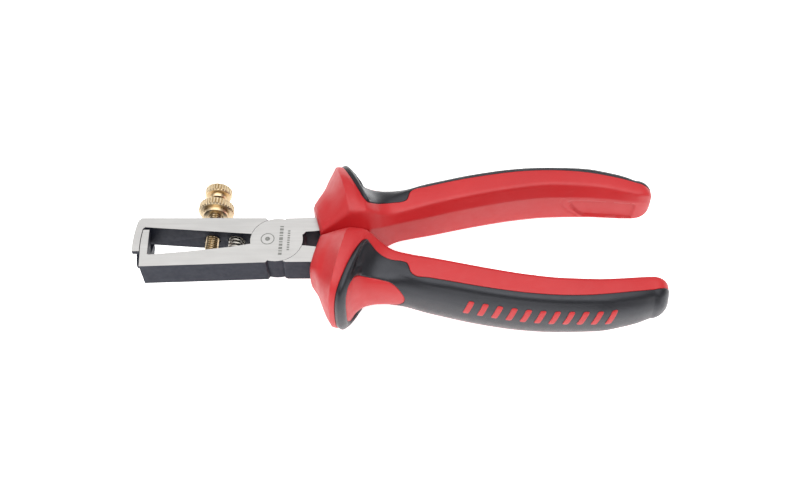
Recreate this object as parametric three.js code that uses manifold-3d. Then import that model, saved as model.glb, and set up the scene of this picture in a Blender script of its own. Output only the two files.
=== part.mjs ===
// Adjustable wire stripper with insulated-style handles, in millimetres.
// The origin is on the pivot axis, in the plane of the head's underside.
// +X runs to the handles, -X to the jaw tips, +Y to the adjusting screw, +Z up.
import * as THREE from "three";
import { ConvexGeometry } from "three/addons/geometries/ConvexGeometry.js";
import { mergeVertices } from "three/addons/utils/BufferGeometryUtils.js";
import Module from "manifold-3d";

const wasm = await Module();
wasm.setup();

// Head
const HEAD_THICK = 9;
const MID_Z = HEAD_THICK / 2;
const LAP_Z = 4;
const LAP_GAP = 0.06;
const DISC_B_R = 7.9;
const DISC_A_R = 7.7;
const DISC_GAP = 0.1;
const RIVET_R = 3.2;
const RIVET_GAP = 0.04;

// Hooked tips, as arcs about the pivot
const HOOK_A_OUTER_R = 43.2;
const HOOK_A_INNER_R = 41;
const HOOK_B_OUTER_R = 40.75;
const HOOK_A_END_Y = -4.25;
const HOOK_B_END_Y = 3.7;
const NOTCH_DEPTH = 4;
const NOTCH_HALF = 2.8;
const NOTCH_RELIEF = 1.7;

// Adjusting screw and lock nut, on one axis along Y
const SCREW_X = -20.2;
const THREAD_R = 1.97;
const THREAD_ROOT_R = 1.62;
const THREAD_PITCH = 0.7;
const SCREW_TIP_Y = -3.2;
const SCREW_HEAD_Y = 18.6;
const SCREW_BORE_R = 2.05;
const SCREW_BORE_END_Y = 12;
const SINK_FLOOR_Y = 3.6;
const SINK_MOUTH_Y = 2;
const SINK_FLOOR_R = 2.4;
const SINK_MOUTH_R = 2.75;
const TIP_R = 1.45;
const TIP_LENGTH = 0.65;
const BLANK_R = 2.1;
const HEAD_R = 4.2;
const HEAD_TOP_Y = 22.5;
const HEAD_DISC_UP = 1.2;
const BOSS_R = 2.6;
const BOSS_EDGE = 0.2;
const BOSS_LENGTH = 1.6;
const NUT_R = 5.5;
const NUT_BORE_R = 2.02;
const NUT_COLLAR_Y = 11.9;
const NUT_DISC_Y = 13.2;
const NUT_TOP_Y = 16;
const COLLAR_R = 3.85;
const COLLAR_EDGE = 0.25;
const COLLAR_GAP = 0.05;
const KNURL_DEPTH = 0.28;
const KNURL_CHAMFER = 0.55;
const KNURL_CHAMFER_RISE = 0.35;

// Opening spring, along Y
const SPRING_X = -12.7;
const SPRING_R = 2.25;
const SPRING_WIRE_R = 0.3;
const SPRING_TURNS = 9.5;
const SPRING_HALF = 5.15;
const POCKET_R = 2.72;
const POCKET_HALF = 5.6;

// Handles: two mirrored mouldings about the line y = HANDLE_MID_Y
const HANDLE_MID_Y = 0.85;
const COVER_THICK = 1.3;
const PART_GAP = 0.3;
const SOCKET_GAP = 0.12;
const END_REACH = 4.6;
const END_INSET = 3.7;
const LOWER_RIDGE = 1.4;
const LOWER_RIDGE_FROM_X = 30;
const LOWER_RIDGE_FULL_X = 44;
const WINDOW_DEPTH = 30;
const WINDOW_FROM_OUT = 13.4;
const WINDOW_MIDDLE_X = 27.5;
const WINDOW_DROOP = 0.04;
const WINDOW_DROOP_FROM_X = 22;
// Corners and height of the block that holds all of a soft cover
const ZONE_FRONT_X = 10;
const ZONE_END_X = 126;
const ZONE_OUT = 40;
const ZONE_HALF_HEIGHT = 35;

// Largest shift when a finished body's needless triangles are merged
const SIMPLIFY = 0.006;

// ---------------------------------------------------------------- helpers

function toSolid(geometry) {
  geometry.deleteAttribute("normal");
  geometry.deleteAttribute("uv");
  const merged = mergeVertices(geometry, 1e-5);
  const count = merged.index.count;
  const triVerts = new Uint32Array(count);
  for (let i = 0; i < count; i++) {
    triVerts[i] = merged.index.getX(i);
  }
  const vertProperties = new Float32Array(merged.attributes.position.array);
  return new wasm.Manifold(new wasm.Mesh({ numProp: 3, vertProperties, triVerts }));
}

function toGeometry(solid) {
  const mesh = solid.simplify(SIMPLIFY).getMesh();
  const geometry = new THREE.BufferGeometry();
  const points = new Float32Array(mesh.vertProperties);
  geometry.setAttribute("position", new THREE.BufferAttribute(points, 3));
  geometry.setIndex(new THREE.BufferAttribute(new Uint32Array(mesh.triVerts), 1));
  return geometry;
}

// A closed body through rings of equal length; the rings run from one end to the other.
function loftSolid(rings, flip = false) {
  const n = rings[0].length;
  const points = rings.flat().flatMap((p) => [p.x, p.y, p.z]);
  const faces = [];
  const add = (a, b, c) => {
    faces.push(...(flip ? [a, c, b] : [a, b, c]));
  };
  for (let j = 0; j + 1 < rings.length; j++) {
    for (let i = 0; i < n; i++) {
      const a = j * n + i;
      const b = j * n + ((i + 1) % n);
      add(a, b, b + n);
      add(a, b + n, a + n);
    }
  }
  for (const [j, back] of [[0, true], [rings.length - 1, false]]) {
    const centre = new THREE.Vector3();
    rings[j].forEach((p) => centre.addScaledVector(p, 1 / n));
    const c = points.length / 3;
    points.push(centre.x, centre.y, centre.z);
    for (let i = 0; i < n; i++) {
      const a = j * n + i;
      const b = j * n + ((i + 1) % n);
      if (back) {
        add(b, a, c);
      } else {
        add(a, b, c);
      }
    }
  }
  const geometry = new THREE.BufferGeometry();
  geometry.setAttribute("position", new THREE.Float32BufferAttribute(points, 3));
  geometry.setIndex(faces);
  return toSolid(geometry);
}

// A flat outline [x, y] raised between two heights.
function plate(outline, z0, z1) {
  const shape = new THREE.Shape(outline.map(([x, y]) => new THREE.Vector2(x, y)));
  const geometry = new THREE.ExtrudeGeometry(shape, { depth: z1 - z0, bevelEnabled: false });
  geometry.translate(0, 0, z0);
  return toSolid(geometry);
}

// A turned body about an axis along Y through x, z; profile is [radius, y].
function turned(profile, x, z, sides = 24) {
  const points = profile.map(([r, y]) => new THREE.Vector2(r, y));
  const geometry = new THREE.LatheGeometry(points, sides);
  geometry.translate(x, 0, z);
  return toSolid(geometry);
}

// A round bar along Z.
function post(x, y, radius, z0, z1, sides = 36) {
  const outline = [];
  for (let i = 0; i < sides; i++) {
    const t = (i / sides) * Math.PI * 2;
    outline.push([x + radius * Math.cos(t), y + radius * Math.sin(t)]);
  }
  return plate(outline, z0, z1);
}

// Points on an arc about the pivot between two heights in y, on the -X side.
function hookArc(radius, yFrom, yTo, steps) {
  const out = [];
  for (let i = 0; i <= steps; i++) {
    const y = yFrom + ((yTo - yFrom) * i) / steps;
    out.push([-Math.sqrt(radius * radius - y * y), y]);
  }
  return out;
}

// ---------------------------------------------------------------- levers

// A V notch across a hook. It opens along dir (+1 or -1 in y) and deepens to its relief side.
function notch(endY, dir, cutX, reliefX) {
  const apex = endY - dir * NOTCH_DEPTH;
  const deep = apex - dir * NOTCH_RELIEF;
  const far = endY + dir;
  const half = NOTCH_HALF * ((NOTCH_DEPTH + 1) / NOTCH_DEPTH);
  const side = Math.sign(cutX - reliefX);
  const points = [];
  for (const [x, y0] of [[cutX + side, apex], [cutX, apex], [reliefX, deep]]) {
    points.push(new THREE.Vector3(x, y0, MID_Z));
    points.push(new THREE.Vector3(x, far, MID_Z - half));
    points.push(new THREE.Vector3(x, far, MID_Z + half));
  }
  return toSolid(new ConvexGeometry(points));
}

function tangA(grow) {
  return [
    [2.5 - grow, -7.84],
    [3.25 - grow, -8.13 - grow],
    [10.2, -8.1 - grow],
    [16, -8.6 - grow],
    [30, -11.9 - grow],
    [52, -17.2 - grow],
    [66, -19.3 - grow],
    [80 + grow, -21.1 - grow],
    [80 + grow, -16.9 + grow],
    [66, -15.3 + grow],
    [52, -12.6 + grow],
    [30, -6.8 + grow],
    [11.1, -2.44 + grow],
    [7.85, -2.08 + grow],
    [5, -2 + grow],
    [0, -4],
  ];
}

function tangB(grow) {
  return [
    [0, 4],
    [5, 2 - grow],
    [7.9, 1.94 - grow],
    [8.7, 3.03 - grow],
    [11, 3.15 - grow],
    [14, 3.6 - grow],
    [30, 8.3 - grow],
    [52, 14 - grow],
    [66, 17 - grow],
    [80 + grow, 18.6 - grow],
    [80 + grow, 22.8 + grow],
    [66, 21 + grow],
    [52, 18.6 + grow],
    [30, 13.2 + grow],
    [16, 9 + grow],
    [11.5, 8.36 + grow],
    [2.48, 8.05 + grow],
  ];
}

function leverA() {
  const jaw = [
    [-3.6, 8.17],
    [-41.6, 8.17],
    [-42.3, 7.5],
    ...hookArc(HOOK_A_OUTER_R, 7, HOOK_A_END_Y, 8),
    ...hookArc(HOOK_A_INNER_R, HOOK_A_END_Y, 4.0, 7),
    [-40.24, 4.66],
    [-7.7, 2.17],
    [-4, 0],
    [0, 4],
    [-2.9, 7.28],
    [-3.57, 8.0],
  ];
  let body = plate(jaw, 0, HEAD_THICK).add(plate(tangA(0), 0, HEAD_THICK));
  const recess = post(0, 0, DISC_B_R + DISC_GAP, LAP_Z - LAP_GAP / 2, HEAD_THICK + 1, 48);
  body = body.subtract(recess);
  body = body.add(post(0, 0, DISC_A_R, 0, LAP_Z - LAP_GAP / 2, 48));
  body = body.subtract(post(0, 0, RIVET_R + RIVET_GAP / 2, -1, HEAD_THICK + 1));
  body = body.subtract(notch(HOOK_A_END_Y, -1, -41.7, -43.6));
  const boreEnd = SCREW_BORE_END_Y;
  const bore = [[0, 0], [SCREW_BORE_R, 0], [SCREW_BORE_R, boreEnd], [0, boreEnd]];
  body = body.subtract(turned(bore, SCREW_X, MID_Z));
  const sink = [
    [0, SINK_MOUTH_Y],
    [SINK_MOUTH_R, SINK_MOUTH_Y],
    [SINK_FLOOR_R, SINK_FLOOR_Y],
    [0, SINK_FLOOR_Y],
  ];
  body = body.subtract(turned(sink, SCREW_X, MID_Z));
  const pocket = [[0, 0], [POCKET_R, 0], [POCKET_R, POCKET_HALF], [0, POCKET_HALF]];
  return body.subtract(turned(pocket, SPRING_X, MID_Z));
}

function leverB() {
  const jaw = [
    [-2.72, -8.3],
    [-1.77, -6.8],
    [0, -4],
    [-4, 0],
    [-7.7, -1.5],
    [-13.7, -2.7],
    [-25.5, -4.2],
    [-37.8, -5.5],
    [-38.25, -5.2],
    [-38.75, HOOK_B_END_Y],
    ...hookArc(HOOK_B_OUTER_R, HOOK_B_END_Y, -5, 8),
    [-40.0, -9.75],
  ];
  jaw.reverse();
  let body = plate(jaw, 0, HEAD_THICK).add(plate(tangB(0), 0, HEAD_THICK));
  const recess = post(0, 0, DISC_A_R + DISC_GAP, -1, LAP_Z + LAP_GAP / 2, 48);
  body = body.subtract(recess);
  body = body.add(post(0, 0, DISC_B_R, LAP_Z + LAP_GAP / 2, HEAD_THICK, 48));
  body = body.subtract(post(0, 0, RIVET_R + RIVET_GAP, -1, HEAD_THICK + 1));
  body = body.subtract(notch(HOOK_B_END_Y, 1, -39.9, -38.2));
  const pocket = [[0, -POCKET_HALF], [POCKET_R, -POCKET_HALF], [POCKET_R, 0], [0, 0]];
  return body.subtract(turned(pocket, SPRING_X, MID_Z));
}

function rivet() {
  return post(0, 0, RIVET_R, 0, HEAD_THICK);
}

// ---------------------------------------------------------------- screw, nut, spring

const THREAD_SIDES = 10;

// Rows of crest and root points of a helical V thread, about the screw axis.
function threadRows() {
  const turns = Math.ceil((SCREW_HEAD_Y - SCREW_TIP_Y) / THREAD_PITCH) + 3;
  const rows = [];
  for (let row = 0; row < turns * 2; row++) {
    const radius = row % 2 ? THREAD_R : THREAD_ROOT_R;
    for (let i = 0; i < THREAD_SIDES; i++) {
      const t = (i / THREAD_SIDES) * Math.PI * 2;
      const y = SCREW_TIP_Y + (row / 2 - 1.5 + i / THREAD_SIDES) * THREAD_PITCH;
      const [across, up] = [radius * Math.sin(t), radius * Math.cos(t)];
      rows.push(new THREE.Vector3(SCREW_X + across, y, MID_Z + up));
    }
  }
  return rows;
}

// The thread's flanks: the last point of a row joins the first one two rows on.
function threadFlanks(at, count) {
  const faces = [];
  for (let row = 0; row + 1 < count; row++) {
    for (let i = 0; i < THREAD_SIDES; i++) {
      if (i + 1 === THREAD_SIDES && row + 3 >= count) {
        continue;
      }
      const [a, b] = [at(row, i), at(row, i + 1)];
      const [c, d] = [at(row + 1, i), at(row + 1, i + 1)];
      faces.push(a, b, d, a, d, c);
    }
  }
  return faces;
}

// A closed bar with the thread on it, longer than the screw at both ends.
function threadBar() {
  const rows = threadRows();
  const count = rows.length / THREAD_SIDES;
  const last = THREAD_SIDES - 1;
  const at = (row, i) => (i <= last ? row * THREAD_SIDES + i : (row + 2) * THREAD_SIDES);
  const points = rows.flatMap((p) => [p.x, p.y, p.z]);
  const faces = threadFlanks(at, count);
  const startRim = [at(2, 0), at(1, 0)];
  const endRim = [];
  for (let i = 0; i <= last; i++) {
    startRim.push(at(0, i));
    endRim.push(at(count - 1, i));
  }
  endRim.push(at(count - 2, last), at(count - 3, last));
  const cap = (rim, y) => {
    const c = points.length / 3;
    points.push(SCREW_X, y, MID_Z);
    rim.forEach((a, i) => faces.push(a, rim[(i + 1) % rim.length], c));
  };
  cap(startRim.reverse(), SCREW_TIP_Y - THREAD_PITCH);
  cap(endRim, SCREW_HEAD_Y + 2 * THREAD_PITCH);
  const geometry = new THREE.BufferGeometry();
  geometry.setAttribute("position", new THREE.Float32BufferAttribute(points, 3));
  geometry.setIndex(faces);
  return toSolid(geometry);
}

function threadedShank() {
  const blank = [
    [0, SCREW_TIP_Y],
    [TIP_R, SCREW_TIP_Y],
    [BLANK_R, SCREW_TIP_Y + TIP_LENGTH],
    [BLANK_R, SCREW_HEAD_Y - PART_GAP],
    [0, SCREW_HEAD_Y - PART_GAP],
  ];
  return threadBar().intersect(turned(blank, SCREW_X, MID_Z));
}

// A knurled disc on the screw axis: a toothed rim with a chamfer on both edges.
function knurledDisc(radius, teeth, y0, y1) {
  const levels = [
    [y0, radius - KNURL_CHAMFER],
    [y0 + KNURL_CHAMFER_RISE, radius],
    [y1 - KNURL_CHAMFER_RISE, radius],
    [y1, radius - KNURL_CHAMFER],
  ];
  const rings = levels.map(([y, r]) => {
    const ring = [];
    for (let i = 0; i < teeth * 2; i++) {
      const t = (i / (teeth * 2)) * Math.PI * 2;
      const rr = Math.min(r, i % 2 ? radius - KNURL_DEPTH : radius);
      ring.push(new THREE.Vector3(SCREW_X + rr * Math.sin(t), y, MID_Z + rr * Math.cos(t)));
    }
    return ring;
  });
  return loftSolid(rings);
}

function screwHead() {
  const disc = knurledDisc(HEAD_R, 24, SCREW_HEAD_Y + HEAD_DISC_UP, HEAD_TOP_Y);
  const boss = [
    [0, SCREW_HEAD_Y],
    [BOSS_R - BOSS_EDGE, SCREW_HEAD_Y],
    [BOSS_R, SCREW_HEAD_Y + BOSS_EDGE],
    [BOSS_R, SCREW_HEAD_Y + BOSS_LENGTH],
    [0, SCREW_HEAD_Y + BOSS_LENGTH],
  ];
  return disc.add(turned(boss, SCREW_X, MID_Z));
}

function nutCollar() {
  const top = NUT_DISC_Y - COLLAR_GAP;
  const ring = [
    [NUT_BORE_R + COLLAR_EDGE, NUT_COLLAR_Y],
    [COLLAR_R - COLLAR_EDGE, NUT_COLLAR_Y],
    [COLLAR_R, NUT_COLLAR_Y + COLLAR_EDGE],
    [COLLAR_R, top],
    [NUT_BORE_R, top],
    [NUT_BORE_R, NUT_COLLAR_Y + COLLAR_EDGE],
    [NUT_BORE_R + COLLAR_EDGE, NUT_COLLAR_Y],
  ];
  return turned(ring, SCREW_X, MID_Z);
}

function nutRim() {
  const disc = knurledDisc(NUT_R, 30, NUT_DISC_Y, NUT_TOP_Y);
  const bore = [
    [0, NUT_DISC_Y - 1],
    [NUT_BORE_R, NUT_DISC_Y - 1],
    [NUT_BORE_R, NUT_TOP_Y + 1],
    [0, NUT_TOP_Y + 1],
  ];
  return disc.subtract(turned(bore, SCREW_X, MID_Z));
}

// Round-wire coil with closed end turns.
class Coil extends THREE.Curve {
  getPoint(t, target = new THREE.Vector3()) {
    const angle = t * SPRING_TURNS * Math.PI * 2;
    const closed = 1 / SPRING_TURNS;
    const flat = (2 * SPRING_WIRE_R + 0.04) / (2 * SPRING_HALF);
    let rise;
    if (t < closed) {
      rise = (t / closed) * flat;
    } else if (t > 1 - closed) {
      rise = 1 - ((1 - t) / closed) * flat;
    } else {
      rise = flat + ((t - closed) / (1 - 2 * closed)) * (1 - 2 * flat);
    }
    const y = (rise * 2 - 1) * SPRING_HALF;
    const x = SPRING_X + SPRING_R * Math.cos(angle);
    return target.set(x, y, MID_Z + SPRING_R * Math.sin(angle));
  }
}

function spring() {
  const outline = [];
  for (let i = 0; i < 6; i++) {
    const t = (i / 6) * Math.PI * 2;
    outline.push(new THREE.Vector2(SPRING_WIRE_R * Math.cos(t), SPRING_WIRE_R * Math.sin(t)));
  }
  const steps = Math.round(SPRING_TURNS * 10);
  const options = { extrudePath: new Coil(), steps, bevelEnabled: false };
  return toSolid(new THREE.ExtrudeGeometry(new THREE.Shape(outline), options));
}

// ---------------------------------------------------------------- handles

// Stations from the guard's front to where the end starts to round. Each holds where it
// crosses the middle line, its slant, the height of its middle (mid) over MID_Z, and the
// section: inner face, its half height, ridge (out, up), shoulder (out, up) and outermost
// point, all from the middle line or the section's middle.
const STATIONS = [
  { x: 13.5, k: -0.26, mid: 0, inner: 0.4, low: 4.5, ridge: [0.5, 6.7], top: [7.4, 6.9], out: 12.1 },
  { x: 16, k: -0.26, mid: 0, inner: 0.4, low: 5.4, ridge: [1, 8.5], top: [9.2, 9.2], out: 14.6 },
  { x: 18.5, k: -0.26, mid: 0, inner: 0.4, low: 6.2, ridge: [1.5, 10.4], top: [10.6, 11], out: 18.4 },
  { x: 21.3, k: -0.26, mid: 0, inner: 0.4, low: 7.1, ridge: [2.2, 12.4], top: [12.8, 13.8], out: 22.4 },
  { x: 23.1, k: -0.26, mid: 0, inner: 0.4, low: 7.8, ridge: [2.7, 13.5], top: [15, 15.9], out: 24.6 },
  { x: 24.4, k: -0.26, mid: 0, inner: 0.5, low: 7.8, ridge: [2.8, 13.5], top: [15.6, 15.2], out: 25.2 },
  { x: 26.2, k: -0.26, mid: 0, inner: 0.6, low: 7.6, ridge: [3.1, 13.5], top: [15.4, 14.6], out: 25 },
  { x: 27.4, k: -0.26, mid: 0, inner: 0.7, low: 7.4, ridge: [3.3, 13.4], top: [13.7, 14.3], out: 24 },
  { x: 28.7, k: -0.26, mid: 0, inner: 1, low: 7.2, ridge: [3.6, 12.9], top: [10.9, 13.5], out: 21.4 },
  { x: 30.2, k: -0.26, mid: -0.1, inner: 1.8, low: 6.8, ridge: [4.1, 11.9], top: [9.4, 12.2], out: 20 },
  { x: 33, k: -0.26, mid: -0.25, inner: 3.2, low: 5.6, ridge: [5.3, 9.7], top: [10, 9.6], out: 18.9 },
  { x: 37, k: -0.26, mid: -0.45, inner: 5, low: 4.9, ridge: [6.9, 8.2], top: [12, 8.2], out: 18.5 },
  { x: 42.5, k: -0.26, mid: -0.65, inner: 6.5, low: 4.9, ridge: [8.4, 8.5], top: [14.4, 8.5], out: 18.9 },
  { x: 48, k: -0.26, mid: -0.75, inner: 7.9, low: 4.9, ridge: [9.8, 9.1], top: [16.8, 8.8], out: 20.2 },
  { x: 56, k: -0.26, mid: -0.83, inner: 9.9, low: 5, ridge: [11.7, 9.5], top: [18.8, 9.3], out: 22 },
  { x: 66, k: -0.22, mid: -0.85, inner: 12.3, low: 5, ridge: [14, 9.7], top: [21.2, 9.5], out: 24.4 },
  { x: 76, k: -0.14, mid: -0.85, inner: 14.4, low: 5, ridge: [16.1, 9.7], top: [23.1, 9.5], out: 26.4 },
  { x: 86, k: -0.04, mid: -0.85, inner: 15.5, low: 5, ridge: [17.4, 9.6], top: [23.9, 9.3], out: 27.3 },
  { x: 94, k: 0.06, mid: -0.85, inner: 15.5, low: 4.9, ridge: [17.3, 9], top: [23.4, 9], out: 27.3 },
  { x: 100, k: 0.12, mid: -0.85, inner: 15.1, low: 4.7, ridge: [16.7, 8.5], top: [22.2, 8.4], out: 26.1 },
  { x: 105, k: 0.12, mid: -0.85, inner: 14.6, low: 4.5, ridge: [15.8, 7.8], top: [21.2, 7.8], out: 25 },
  { x: 109.6, k: 0.07, mid: -0.85, inner: 14.3, low: 4.1, ridge: [15.2, 7.2], top: [20.1, 7.2], out: 23.8 },
];

const BACK_STEPS = 4;
const END_STEPS = 3;
const SECTION_CORE = 1.5;
const RIDGE_MARGIN = 0.01;

// How fast each part of the section draws in over the rounded end
const DRAW_INNER = 0.8;
const DRAW_LOW = 0.85;
const DRAW_RIDGE_OUT = 0.45;
const DRAW_RIDGE_UP = 0.95;
const DRAW_SHOULDER = 0.6;

// The last station drawn in on all sides, for the rounded end.
function drawnIn(s, by, ahead) {
  return {
    ...s,
    x: s.x + ahead,
    inner: s.inner + DRAW_INNER * by,
    low: s.low - DRAW_LOW * by,
    ridge: [s.ridge[0] + DRAW_RIDGE_OUT * by, s.ridge[1] - DRAW_RIDGE_UP * by],
    top: [s.top[0] - DRAW_SHOULDER * by, s.top[1] - by],
    out: s.out - by,
  };
}

function stationsToEnd(shorten) {
  const last = STATIONS[STATIONS.length - 1];
  const list = [...STATIONS];
  for (let i = 1; i <= END_STEPS; i++) {
    const turn = ((i / END_STEPS) * Math.PI) / 2;
    const by = END_INSET * (1 - Math.cos(turn));
    list.push(drawnIn(last, by, (END_REACH - shorten) * Math.sin(turn)));
  }
  return list;
}

// Half a section, from the inner face to near the outermost point.
function halfSection(s, ridgeShift) {
  const half = [[s.inner, s.low], [s.ridge[0] + ridgeShift, s.ridge[1]]];
  const reach = s.out - s.top[0];
  for (let i = 0; i < BACK_STEPS; i++) {
    const t = (i / BACK_STEPS) * (Math.PI / 2);
    half.push([s.top[0] + reach * Math.sin(t), s.top[1] * Math.cos(t)]);
  }
  return half;
}

// One section as a closed ring. inset moves its top, bottom and back inwards.
function section(s, side, inset) {
  const grip = THREE.MathUtils.smoothstep(s.x, LOWER_RIDGE_FROM_X, LOWER_RIDGE_FULL_X);
  const under = halfSection(s, LOWER_RIDGE * grip).reverse();
  const full = [
    ...halfSection(s, 0),
    [s.out, 0],
    ...under.map(([out, up]) => [out, -up]),
  ];
  const middle = s.top[0] - SECTION_CORE;
  return full.map(([out, up]) => {
    const grown = Math.hypot(out - middle, up);
    const onBack = out > s.ridge[0] + RIDGE_MARGIN;
    const keep = onBack ? (grown - inset) / grown : 1;
    const o = out > middle ? middle + (out - middle) * keep : out;
    const u = onBack ? up * keep : Math.sign(up) * (Math.abs(up) - inset);
    const x = s.x + s.k * o;
    return new THREE.Vector3(x, HANDLE_MID_Y + side * o, MID_Z + s.mid + u);
  });
}

function handleBlank(side, inset) {
  const rings = stationsToEnd(inset).map((s) => section(s, side, inset));
  return loftSolid(rings, side > 0);
}

// Plan line between the hard core and the soft cover, from the guard to the end.
const COVER_LINE = [
  [17.9, 26.1],
  [18.9, 23.4],
  [20.3, 20.2],
  [21.4, 17.7],
  [23.1, 14],
  [24.9, 10.3],
  [26.7, 7.4],
  [27.5, 6.9],
  [28.4, 7.3],
  [30, 8.5],
  [32.4, 9.8],
  [35, 10.6],
  [38, 11],
  [39.3, 11.8],
  [40.3, 14.9],
  [41.5, 15.9],
  [45.6, 16.9],
  [56, 19.4],
  [65, 21.2],
  [74, 22.5],
  [85, 23.2],
  [92, 22.9],
  [98, 22.2],
  [104, 21.2],
  [112, 19.5],
  [124, 16],
];

// The soft cover's window over the guard, as half an outline in x and height.
const WINDOW_HALF = [
  [21.6, 3],
  [21.7, 5.8],
  [22, 8.1],
  [22.5, 9.5],
  [23.3, 9.9],
  [24.7, 9.3],
  [27, 7.8],
  [30.3, 6.72],
  [32.3, 6.3],
  [34.4, 5.8],
  [36.3, 4.5],
  [37.7, 2.6],
  [38.4, 0.9],
];

function coverZone(side, shift) {
  const line = COVER_LINE.map(([x, s], i) => {
    const [xa, sa] = COVER_LINE[Math.max(i - 1, 0)];
    const [xb, sb] = COVER_LINE[Math.min(i + 1, COVER_LINE.length - 1)];
    const length = Math.hypot(xb - xa, sb - sa);
    return [x + (shift * (sb - sa)) / length, s - (shift * (xb - xa)) / length];
  });
  const outline = [...line, [ZONE_END_X, ZONE_OUT], [ZONE_FRONT_X, ZONE_OUT]];
  const plan = outline.map(([x, s]) => [x, HANDLE_MID_Y + side * s]);
  return plate(plan, MID_Z - ZONE_HALF_HEIGHT, MID_Z + ZONE_HALF_HEIGHT);
}

function coverWindow(side, shift) {
  const half = WINDOW_HALF.map(([x, u]) => {
    const along = x - WINDOW_MIDDLE_X;
    const length = Math.hypot(along, u);
    return [x + (shift * along) / length, u + (shift * u) / length];
  });
  const outline = [...half, ...half.map(([x, u]) => [x, -u]).reverse()];
  const drooped = outline.map(([x, u]) => {
    const droop = WINDOW_DROOP * Math.max(0, x - WINDOW_DROOP_FROM_X);
    return new THREE.Vector2(x, u - droop);
  });
  const options = { depth: WINDOW_DEPTH, bevelEnabled: false };
  const geometry = new THREE.ExtrudeGeometry(new THREE.Shape(drooped), options);
  geometry.rotateX(Math.PI / 2);
  const start = side > 0 ? WINDOW_FROM_OUT + WINDOW_DEPTH : -WINDOW_FROM_OUT;
  const y = HANDLE_MID_Y + start;
  geometry.translate(0, y, MID_Z);
  return toSolid(geometry);
}

// The space taken by the soft cover, reaching past the handle's surface.
function coverSpace(side, gap) {
  const inside = handleBlank(side, COVER_THICK + gap);
  return coverZone(side, gap).subtract(inside).subtract(coverWindow(side, -gap));
}

function softCover(side) {
  return handleBlank(side, 0).intersect(coverSpace(side, 0));
}

function hardCore(side) {
  const tang = side > 0 ? tangB(SOCKET_GAP) : tangA(SOCKET_GAP);
  const socket = plate(tang, -SOCKET_GAP, HEAD_THICK + SOCKET_GAP);
  return handleBlank(side, 0).subtract(coverSpace(side, PART_GAP)).subtract(socket);
}

// ---------------------------------------------------------------- assembly

const STEEL = { color: 0xb9b8b6, roughness: 0.4, metalness: 0.9 };
const BRASS = { color: 0xc9a467, roughness: 0.35, metalness: 0.9 };
const WIRE = { color: 0x8f9093, roughness: 0.3, metalness: 0.9 };
const RED = { color: 0xcc3035, roughness: 0.5, metalness: 0 };
const BLACK = { color: 0x26272b, roughness: 0.8, metalness: 0 };

const pieces = [
  ["lever_a", leverA(), STEEL],
  ["lever_b", leverB(), STEEL],
  ["rivet", rivet(), STEEL],
  ["screw_shank", threadedShank(), BRASS],
  ["screw_head", screwHead(), BRASS],
  ["lock_nut_collar", nutCollar(), BRASS],
  ["lock_nut_rim", nutRim(), BRASS],
  ["opening_spring", spring(), WIRE],
  ["handle_a_core", hardCore(-1), RED],
  ["handle_a_cover", softCover(-1), BLACK],
  ["handle_b_core", hardCore(1), RED],
  ["handle_b_cover", softCover(1), BLACK],
];

const group = new THREE.Group();
for (const [name, solid, look] of pieces) {
  const material = new THREE.MeshStandardMaterial(look);
  const mesh = new THREE.Mesh(toGeometry(solid), material);
  mesh.name = name;
  group.add(mesh);
}

export default group;
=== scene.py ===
import math

import bmesh
import bpy
import numpy as np
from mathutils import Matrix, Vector
from mathutils.bvhtree import BVHTree


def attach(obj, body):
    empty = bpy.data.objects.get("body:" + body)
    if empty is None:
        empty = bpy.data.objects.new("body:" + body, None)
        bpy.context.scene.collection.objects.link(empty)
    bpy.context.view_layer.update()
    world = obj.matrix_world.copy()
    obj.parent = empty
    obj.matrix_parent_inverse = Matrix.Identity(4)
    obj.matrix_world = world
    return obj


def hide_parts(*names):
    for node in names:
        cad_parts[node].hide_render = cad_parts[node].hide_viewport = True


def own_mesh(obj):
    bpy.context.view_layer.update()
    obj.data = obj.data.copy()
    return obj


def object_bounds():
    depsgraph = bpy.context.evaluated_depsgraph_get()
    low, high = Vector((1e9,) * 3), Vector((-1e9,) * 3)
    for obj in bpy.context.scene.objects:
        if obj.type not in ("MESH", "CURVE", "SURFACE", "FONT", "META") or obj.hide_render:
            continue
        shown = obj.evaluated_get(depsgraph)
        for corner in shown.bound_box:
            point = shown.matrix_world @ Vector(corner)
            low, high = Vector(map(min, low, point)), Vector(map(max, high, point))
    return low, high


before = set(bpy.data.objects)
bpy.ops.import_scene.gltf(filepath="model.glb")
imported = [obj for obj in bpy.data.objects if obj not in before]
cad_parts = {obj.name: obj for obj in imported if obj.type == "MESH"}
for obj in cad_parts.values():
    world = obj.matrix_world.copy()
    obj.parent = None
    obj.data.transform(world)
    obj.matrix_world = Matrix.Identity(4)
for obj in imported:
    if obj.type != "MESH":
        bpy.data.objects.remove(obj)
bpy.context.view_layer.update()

MM = 0.001
MID_Z = 4.5           # middle plane of the head and handles
HANDLE_MID_Y = 0.85   # mirror line of the two handles
HEAD_TOP = 9.0
SCREW_X = -20.2
SPRING_X = -12.7


# ------------------------------------------------------------------ node helpers

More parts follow.
